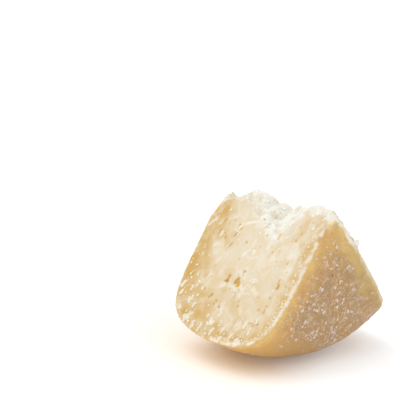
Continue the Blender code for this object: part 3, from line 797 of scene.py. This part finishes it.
def cheeseMaterial():
    material, tree, shader, place = newMaterial("cheese")
    color = SimpleNamespace(**{name: paint(*value) for name, value in cheeseLook["colors"].items()})
    at = SimpleNamespace(**{name: attributeNode(tree, name) for name in paintedValues})
    sides = tree.nodes.new("ShaderNodeSeparateXYZ")
    feed(tree, sides.inputs[0], place)
    across = sides.outputs[1]

    def pattern(name):
        size, detail, distortion, *levels = cheeseLook["patterns"][name]
        return rampNode(tree, noiseNode(tree, place, size, detail, distortion), *levels)

    def cover(under, share, over, strength=None):
        if strength is not None:
            share = calculate(tree, "MULTIPLY", share, strength)
        return blendColors(tree, share, under, over)

    # the paste: pale in the middle, yellower towards the rind
    smear = rampNode(tree, at.smear, 0.25, 0.7)
    pit = rampNode(tree, at.pit, 0.12, 0.75)
    paste = cover(color.creamPale, pattern("creamPatches"), color.creamWarm)
    paste = cover(paste, at.yellowing, color.yellow, pattern("yellowPatches"))
    paste = cover(paste, at.stain, color.stain)
    # partly fresh white curd, partly painted highlight along the broken crest
    paste = cover(paste, at.fresh, color.freshWhite, pattern("islands"))
    paste = cover(paste, at.line, color.white, 0.4)
    paste = cover(paste, smear, color.white, 0.8)
    # painted shade: the eyes and the gaps between crumbs take an ochre that stands in for their warm shadow
    paste = cover(paste, pit, color.ochre, 0.88)
    # painted shade: small yellow spots where tiny pinholes would be
    paste = cover(paste, pattern("pinholes"), color.yellow)

    # the rind: tan in the middle, yellower where the cut lets light through, pale specks all over
    # painted shade: the rim darker on the side turned away from the light
    rimShadeShare = rampNode(tree, across, *inMetres(cheeseLook["rimShadeTurns"]))
    rimColor = cover(color.rimTan, rimShadeShare, color.rimDeep)
    olive = rampNode(tree, across, *inMetres(cheeseLook["yellowTurns"]))
    yellow = cover(color.rindYellow, olive, color.rindOlive)
    hidden = calculate(tree, "MAXIMUM", at.rim, calculate(tree, "MULTIPLY", at.thin, 0.8))
    clear = calculate(tree, "SUBTRACT", 1.0, hidden)
    rind = cover(color.rindTan, pattern("rindPatches"), color.rindGrey)
    rind = cover(rind, at.rim, rimColor, 0.7)
    rind = cover(rind, pattern("bloom"), color.rindSpeck, clear)
    rind = cover(rind, pattern("specks"), color.rindSpeck, clear)
    rind = cover(rind, pattern("darkSpots"), color.rindDark)
    rind = cover(rind, at.orange, color.rindOrange, 0.8)
    rind = cover(rind, at.thin, yellow, 0.88)
    rind = cover(rind, pattern("pebbles"), color.rindDark)
    rind = cover(rind, pattern("glints"), color.rindSpeck, clear)
    rind = cover(rind, at.apex, color.apexCream)
    # partly fresh white curd, partly painted highlight
    rind = cover(rind, at.fresh, color.freshWhite)
    # painted shade of the hole in the rind
    rind = cover(rind, at.dot, color.dotBrown)

    skin = cover(paste, rampNode(tree, at.gap, 0.35, 0.8), rind)
    skin = cover(skin, at.border, color.borderLine, 0.92)
    feed(tree, shader.inputs["Base Color"], skin)
    feed(tree, shader.inputs["Roughness"], pattern("shine"))
    shader.inputs["Specular IOR Level"].default_value = cheeseLook["specular"]
    shader.inputs["Subsurface Weight"].default_value = cheeseLook["glow"]
    shader.inputs["Subsurface Radius"].default_value = cheeseLook["glowReach"]
    shader.inputs["Subsurface Scale"].default_value = cheeseLook["glowDepth"] * mm
    coarse, fine = cheeseLook["bumps"]
    fineBumps = calculate(tree, "MULTIPLY", noiseNode(tree, place, fine, 2), 0.5)
    bumps = calculate(tree, "ADD", noiseNode(tree, place, coarse, 3), fineBumps)
    addBump(tree, shader, bumps, cheeseLook["bumpHeight"])
    return material


print("body")
mesh = bodyMesh()
mesh.materials.clear()
mesh.materials.append(cheeseMaterial())
print("body net:", len(mesh.polygons), "quads")
surface = finishBody(mesh)
body = putInScene(mesh, "cheeseBody")
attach(body, "root")
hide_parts("cheese_chunk")

curdLook = {  # of every loose bit of curd
    "grain": 1.1,
    "shadeFrom": (0.35, 0.62),
    "roughness": (0.6, 0.75),
    "specular": 0.3,
    "bumpGrain": 0.5,
    "bumpHeight": 0.12,
}


def curdMaterial(look):
    material, tree, shader, place = newMaterial(look["material"])
    grain = noiseNode(tree, place, curdLook["grain"], 3)
    shade = rampNode(tree, grain, *curdLook["shadeFrom"])
    color = blendColors(tree, shade, paint(*look["shade"]), paint(*look["color"]))
    risen = rampNode(tree, attributeNode(tree, "level"), *look["levels"])  # painted contact shade: darker round the foot
    color = blendColors(tree, risen, paint(*look["footShade"]), color)
    feed(tree, shader.inputs["Base Color"], color)
    feed(tree, shader.inputs["Roughness"], rampNode(tree, grain, 0.3, 0.7, *curdLook["roughness"]))
    shader.inputs["Specular IOR Level"].default_value = curdLook["specular"]
    addBump(tree, shader, noiseNode(tree, place, curdLook["bumpGrain"], 2), curdLook["bumpHeight"])
    return material


def finishCurd(bm, name, look, levels):  # levels: how high each point is in its lump or above the cheese
    bmesh.ops.scale(bm, vec=(mm, mm, mm), verts=bm.verts)
    bmesh.ops.recalc_face_normals(bm, faces=bm.faces)
    mesh = makeMesh(bm, name, curdMaterial(look))
    mesh.attributes.new("level", "FLOAT", "POINT").data.foreach_set("value", levels)
    mesh.shade_smooth()
    piece = putInScene(mesh, name)
    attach(piece, "root")
    print(name + ":", len(mesh.polygons), "faces")


def lumpShapes(seed, count, roughness):  # small rounded lumps, one unit across
    shapes = []
    for index in range(count):
        bm = bmesh.new()
        bmesh.ops.create_cube(bm, size=1)
        bmesh.ops.subdivide_edges(bm, edges=bm.edges, cuts=1, use_grid_fill=True)
        for vert in bm.verts:
            around = vert.co.normalized()
            reach = 0.5 + roughness * noise.noise(around * 1.7 + Vector((seed, index * 3.1, 0)))
            vert.co = vert.co.lerp(around * 0.5, 0.7) * (reach / 0.5)
        shapes.append(makeMesh(bm, "lump"))
    return shapes


def joinLumps(name, look, placements):  # one mesh of many lumps, each put in place by its matrix
    shapes = lumpShapes(*look["shapes"])
    bm = bmesh.new()
    levels = []
    for index, placement in enumerate(placements):
        lump = shapes[index % len(shapes)].copy()
        levels += [vert.co.z for vert in lump.vertices]
        lump.transform(placement)
        bm.from_mesh(lump)
        bpy.data.meshes.remove(lump)
    for shape in shapes:
        bpy.data.meshes.remove(shape)
    finishCurd(bm, name, look, levels)


def standing(place, normal, way, size):  # a lump's matrix: way along its length, normal through its height
    up = Vector(normal).normalized()
    across = up.cross(Vector(way)).normalized()
    turn = Matrix((across.cross(up), across, up)).transposed().to_4x4()
    return Matrix.Translation(place) @ turn @ Matrix.Diagonal((*size, 1.0))


def anyWay(random):
    return Vector([random.gauss(0, 1) for _ in range(3)])


def dragWay(side):  # along a knife face, the way the knife went
    return Vector((-side * math.sin(marks["drag"]), 0, 0)) - outwards(side) * math.cos(marks["drag"])


crumbs = {
    "material": "freshCurd",
    "seed": 5,
    "shapes": (3, 7, 0.2),  # seed, how many different ones, roughness
    "small": 260,  # on the broken top
    "smallSize": (0.5, 1.3),
    "large": 18,
    "largeSize": (1.4, 2.3),
    "stretch": (0.9, 1.5),
    "flatness": (0.5, 0.8),
    "sunk": 0.12,  # of the size
    "color": (245, 244, 238),
    "shade": (241, 237, 224),
    # painted contact shade round the foot of each crumb
    "footShade": (236, 220, 184),
    "levels": (0.06, 0.30),
}


def scatterCrumbs():
    random = Random(crumbs["seed"])
    weights = (surface.broken > 0.55) * (surface.gap < 0.4) * (0.15 + surface.fresh)
    picks = random.choices(range(len(weights)), weights, k=crumbs["small"] + crumbs["large"])
    placements = []
    for index, pick in enumerate(picks):
        size = random.uniform(*crumbs["smallSize" if index < crumbs["small"] else "largeSize"])
        normal = surface.normals[pick]
        place = Vector(surface.points[pick] - normal * crumbs["sunk"] * size)
        shape = (size * random.uniform(*crumbs["stretch"]), size, size * random.uniform(*crumbs["flatness"]))
        placements.append(standing(place, normal, anyWay(random), shape))
    joinLumps("topCrumbs", crumbs, placements)


shreds = {
    "material": "smearedCurd",
    "seed": 8,
    "shapes": (6, 9, 0.3),
    "count": 420,  # on the two knife faces
    "length": (0.8, 2.7),
    "width": (0.5, 1.3),
    "height": (0.16, 0.28),
    "stray": 0.006,  # how many lie away from the smears
    "deeperThan": 0.6,  # they start this far below the rind
    "rowCount": 420,  # small ones in a row beside the edge of the cut
    "rowFrom": (4, 18),  # along the axis and away from it
    "rowSize": (0.35, 0.9),
    "rowShape": (1.4, 1.0, 0.6),
    "rowDepth": 3.6,
    "rowWidth": (1.9, 0.3),
    "edgeCount": 170,  # and along the other edge
    "edgeTo": -15,  # along the axis
    "edgeDepth": 0.7,
    "edgeWidth": (0.9, 0.2),
    "lean": 0.5,
    "sunk": 0.2,  # of the height
    "color": (240, 232, 214),
    "shade": (235, 223, 199),
    # painted contact shade round the foot of each shred
    "footShade": (226, 198, 144),
    "levels": (0.10, 0.34),
}


def shredWeights():  # how likely a shred is at each point: in the smears, in the row, along the other edge
    smeared = surface.onKnife * (shreds["stray"] + surface.smear) * (surface.depth > shreds["deeperThan"])
    fromX, fromR = shreds["rowFrom"]
    row = surface.onKnife * (surface.faceX > fromX) * (surface.r > fromR)
    row = row * rampArray(*shreds["rowWidth"], abs(surface.depth - shreds["rowDepth"] - 3 * surface.flutter))
    row = row * rampArray(-0.15, 0.25, surface.ragged)
    edge = surface.onKnife * (surface.faceX < shreds["edgeTo"])
    edge = edge * rampArray(*shreds["edgeWidth"], abs(surface.depth - shreds["edgeDepth"]))
    edge = edge * rampArray(-0.1, 0.25, surface.flutter + 0.6 * surface.ragged)
    return smeared, row, edge


def shredSize(random, inSmear):
    if inSmear:
        return [random.uniform(*shreds[part]) for part in ("length", "width", "height")]
    size = random.uniform(*shreds["rowSize"])
    return [size * part for part in shreds["rowShape"]]


def scatterShreds():
    random = Random(shreds["seed"])
    placements = []
    for kind, weights in zip(("count", "rowCount", "edgeCount"), shredWeights()):
        for pick in random.choices(range(len(weights)), weights, k=shreds[kind]):
            side = surface.side[pick]
            normal = squareTo(side)
            lean = Matrix.Rotation(random.gauss(0, shreds["lean"]), 3, normal)
            size = shredSize(random, kind == "count")
            place = Vector(surface.points[pick]) - normal * shreds["sunk"] * size[2]
            placements.append(standing(place, normal, lean @ dragWay(side), size))
    joinLumps("curdShreds", shreds, placements)


flecks = {
    "material": "rindBloom",
    "seed": 13,
    "shapes": (9, 9, 0.34),
    "large": 225,  # on the rind
    "largeSize": (0.8, 1.9),
    "small": 760,
    "smallSize": (0.3, 0.75),
    "lean": 42,  # degrees, how most of them lie
    "leanSpread": 35,
    "stretch": (1.0, 1.9),
    "flatness": 0.20,
    "sunk": 0.03,  # of the width
    "drawnSunk": 0.04,
    "drawnHeight": 0.24,
    "calmRim": 0.93,  # how many fewer lie on the rim
    "fromTip": (6, 16),
    "lowDown": (-46, -60),  # height from the axis where more lie
    "lowAcross": (26, 4),  # and y
    "color": (227, 210, 196),
    "shade": (208, 184, 162),
    # painted contact shade round the foot of each fleck
    "footShade": (182, 144, 102),
    "levels": (0.10, 0.42),
    # y, height from the axis, length, width, turn in degrees: the ones that stand out
    "drawn": (
        (-3.6, -33.3, 4.4, 1.7, 75), (1.0, -33.4, 3.0, 0.9, 35), (3.6, -32.6, 2.2, 0.8, 50),
        (2.1, -35.4, 2.4, 0.9, 10), (4.1, -36.5, 2.6, 1.1, -40), (-0.6, -37.9, 2.4, 1.2, -20),
        (5.1, -39.4, 2.2, 1.1, 0), (7.3, -46.9, 3.4, 1.4, -8), (-11.4, -41.6, 2.2, 1.2, -10),
        (-15.4, -39.6, 1.6, 0.9, 40), (-7.6, -49.1, 3.0, 2.4, 0), (-8.9, -47.6, 2.0, 1.4, 60),
        (4.1, -49.0, 3.4, 2.2, 20), (6.5, -54.3, 2.4, 1.6, 40), (18.0, -55.3, 2.4, 1.9, 0),
        (15.3, -56.1, 1.5, 0.8, 0), (0.5, -55.3, 3.6, 2.4, 20), (4.3, -58.7, 2.8, 2.0, 60),
        (9.6, -61.2, 2.4, 1.4, 55), (5.5, -63.0, 3.0, 2.6, 20), (14.4, -68.6, 2.8, 1.7, 110),
        (20.3, -71.1, 1.5, 1.2, 0), (-9.0, -60.4, 4.8, 1.4, 24), (-5.4, -64.2, 3.6, 2.6, 0),
        (-18.8, -49.1, 1.7, 1.2, 0), (-16.1, -51.8, 2.2, 1.5, 40), (-19.1, -54.6, 2.4, 1.3, 60),
        (-22.4, -59.5, 3.0, 2.0, 30), (-24.5, -55.6, 1.8, 1.4, 0), (24.2, -54.1, 7.6, 0.7, 31),
        (27.5, -48.5, 4.0, 0.6, 31), (22.0, -61.5, 5.0, 0.6, 36), (16.0, -51.5, 2.8, 1.3, 0),
        (12.5, -51.0, 2.0, 1.0, 0), (2.0, -12.5, 3.6, 2.6, 0), (4.6, -12.0, 3.2, 1.0, 70),
        (1.0, -22.5, 3.0, 1.6, 60), (4.0, -25.0, 3.8, 2.0, -50), (-4.0, -24.0, 1.6, 0.9, 0),
        (11.0, -26.5, 1.6, 0.8, 30), (-1.0, -28.5, 3.4, 1.3, 10), (37.2, -75.0, 10.4, 0.9, 27),
        (31.0, -72.0, 3.0, 0.7, 27), (-6.0, -29.5, 3.6, 0.9, 20),
    ),
}


def scatterFlecks():
    random = Random(flecks["seed"])
    cluster = surfaceNoise(surface.points, 9) + 0.8 * surfaceNoise(surface.points, 3)
    low = rampArray(*flecks["lowDown"], surface.z) * rampArray(*flecks["lowAcross"], surface.y)
    cluster += 0.35 * low - 0.1
    weights = (surface.onRind > 0.9) * rampArray(-0.1, 0.6, cluster) * (1 - flecks["calmRim"] * surface.rim)
    weights = weights * (rampArray(0.5, 0.2, surface.thin) + 0.03) * rampArray(*flecks["fromTip"], surface.r)
    placements = []
    for across, height, length, width, turn in flecks["drawn"]:
        away = np.hypot(surface.y - across, surface.z - height)
        away[(surface.x < 0) | (surface.onRind < 0.5)] = np.inf  # only on the near rind face
        nearest = int(np.argmin(away))
        normal = surface.normals[nearest]
        way = Vector((0, math.cos(math.radians(turn)), math.sin(math.radians(turn))))
        place = Vector(surface.points[nearest] - normal * flecks["drawnSunk"] * width)
        placements.append(standing(place, normal, way, (length, width, flecks["drawnHeight"])))
    for kind in ("large", "small"):
        for pick in random.choices(range(len(weights)), weights, k=flecks[kind]):
            size = random.uniform(*flecks[kind + "Size"])
            normal = surface.normals[pick]
            place = Vector(surface.points[pick] - normal * flecks["sunk"] * size)
            shape = (size * random.uniform(*flecks["stretch"]), size, size * flecks["flatness"])
            turn = math.radians(random.gauss(flecks["lean"], flecks["leanSpread"]))
            onFlatFace = abs(normal[0]) > 0.3
            way = Vector((0.01, math.cos(turn), math.sin(turn))) if onFlatFace else anyWay(random)
            placements.append(standing(place, normal, way, shape))
    joinLumps("rindFlecks", flecks, placements)


edgeBurr = {
    "material": "driedCurd",
    # distance from the axis, and how far the broken crumb stands out from the far knife face beside the rind
    "reach": (
        (3.0, 0.1), (9.0, 0.4), (12.0, 0.8), (15.5, 0.3), (19.0, 0.8), (23.0, 2.0), (25.6, 1.7),
        (28.4, 2.0), (30.4, 2.8), (32.6, 4.6), (34.4, 4.8), (35.4, 2.2), (37.0, 0.9), (40.0, 0.7),
        (52.0, 0.8), (62.0, 0.3), (70.0, 0.0),
    ),
    "root": 1.0,  # how far it goes down into the cheese
    "inset": 0.45,
    "thickness": 1.3,
    "steps": 220,
    "rows": 5,
    "color": (243, 242, 237),
    "shade": (238, 234, 222),
    # painted contact shade along the foot of the ribbon
    "footShade": (228, 210, 172),
    "levels": (0.0, 0.3),
}


def makeEdgeBurr():  # a ragged ribbon along the far edge of the rind
    first, last = edgeBurr["reach"][0][0], edgeBurr["reach"][-1][0]
    axis = Vector((0, chunk["sideShift"], axisHeight))
    bm = bmesh.new()
    bmesh.ops.create_grid(bm, x_segments=edgeBurr["steps"], y_segments=edgeBurr["rows"], size=0.5)
    levels = []
    for vert in bm.verts:
        share = vert.co.y + 0.5
        r = first + (last - first) * (vert.co.x + 0.5)
        r += 0.3 * noise.noise(Vector((vert.co.x * 90, share * 3, 2.0)))
        reach = between(edgeBurr["reach"], r) * (0.86 + 0.5 * noise.noise(Vector((r / 1.1, 0.3, 0))))
        height = max(reach, 0.05) * share - edgeBurr["root"] * (1 - share)
        lean = 0.45 * noise.noise(Vector((r / 1.3, height / 1.1, 5.0))) - 0.25 * share
        along = rindPlace(r) - edgeBurr["inset"] + lean
        vert.co = axis + Vector((along, 0, 0)) + outwards(1) * r + squareTo(1) * height
        levels.append(height)
    bmesh.ops.solidify(bm, geom=bm.faces[:], thickness=edgeBurr["thickness"])
    finishCurd(bm, "edgeBurr", edgeBurr, levels + levels)


scatterCrumbs()
scatterShreds()
scatterFlecks()
makeEdgeBurr()

print("stage, light and camera")

floorLook = {
    "halfWidth": 4,  # metres
    "colors": ((251, 251, 250), (253, 253, 253)),
    "cloud": 900,
    "roughness": (0.75, 0.85),
    "specular": 0.2,
    "shadowTintGlows": ((0.50, 0.27, 0.02, 1), (0.78, 0.88, 1.0, 1)),  # painted light: warm on the left to tint the shadow there, cool on the right
    "glowSlant": 1.2,
    "glowTurns": (-50, 50),
    "glowStrength": 0.2,
}


def floorMaterial():  # the floor glows like a light table, so that the shadow stays pale; its tint by place is painted shadow colour
    material, tree, shader, place = newMaterial("floorPaint")
    cloud = noiseNode(tree, place, floorLook["cloud"], 2)
    first, second = (paint(*color) for color in floorLook["colors"])
    feed(tree, shader.inputs["Base Color"], blendColors(tree, cloud, first, second))
    feed(tree, shader.inputs["Roughness"], rampNode(tree, cloud, 0.3, 0.7, *floorLook["roughness"]))
    shader.inputs["Specular IOR Level"].default_value = floorLook["specular"]
    sides = tree.nodes.new("ShaderNodeSeparateXYZ")
    feed(tree, sides.inputs[0], place)
    slant = calculate(tree, "MULTIPLY", sides.outputs[1], floorLook["glowSlant"])
    across = calculate(tree, "ADD", sides.outputs[0], slant)
    share = rampNode(tree, across, *inMetres(floorLook["glowTurns"]))
    # painted light: the floor glows, warm on the left and cool on the right, to tint the shadow
    feed(tree, shader.inputs["Emission Color"], blendColors(tree, share, *floorLook["shadowTintGlows"]))
    shader.inputs["Emission Strength"].default_value = floorLook["glowStrength"]
    return material


bm = bmesh.new()
bmesh.ops.create_grid(bm, x_segments=1, y_segments=1, size=floorLook["halfWidth"])
floor = putInScene(makeMesh(bm, "floor", floorMaterial()), "floor")

studio = {
    "ambient": 0.80,
    "suns": (  # direction that the light comes from, strength, softness in degrees
        ((-0.30, -0.36, 0.88), 0.85, 60),
        ((-0.55, -0.78, 0.22), 0.28, 50),
        ((0.60, 0.35, 0.72), 0.25, 60),
    ),
}
world = bpy.data.worlds.new("studio")
bpy.context.scene.world = world
world.use_nodes = True
background = world.node_tree.nodes["Background"]
background.inputs["Color"].default_value = (1, 1, 1, 1)
background.inputs["Strength"].default_value = studio["ambient"]
for index, (way, strength, softness) in enumerate(studio["suns"]):
    lamp = bpy.data.lights.new(f"softLight{index}", "SUN")
    lamp.energy = strength
    lamp.angle = math.radians(softness)
    sun = bpy.data.objects.new(f"softLight{index}", lamp)
    sun.rotation_euler = Vector(way).to_track_quat("Z", "Y").to_euler()
    bpy.context.scene.collection.objects.link(sun)

view = {"place": (1.0312, -0.9098, 0.5166), "turn": 50.334, "down": 17.361, "focal": 205.714, "sensor": 36}
lens = bpy.data.cameras.new("camera")
lens.sensor_width = view["sensor"]
lens.lens = view["focal"]
camera = bpy.data.objects.new("camera", lens)
camera.location = view["place"]
camera.rotation_euler = Euler((math.radians(90 - view["down"]), 0, math.radians(view["turn"])))
bpy.context.scene.collection.objects.link(camera)
bpy.context.scene.camera = camera
bpy.context.scene.view_settings.view_transform = "Standard"
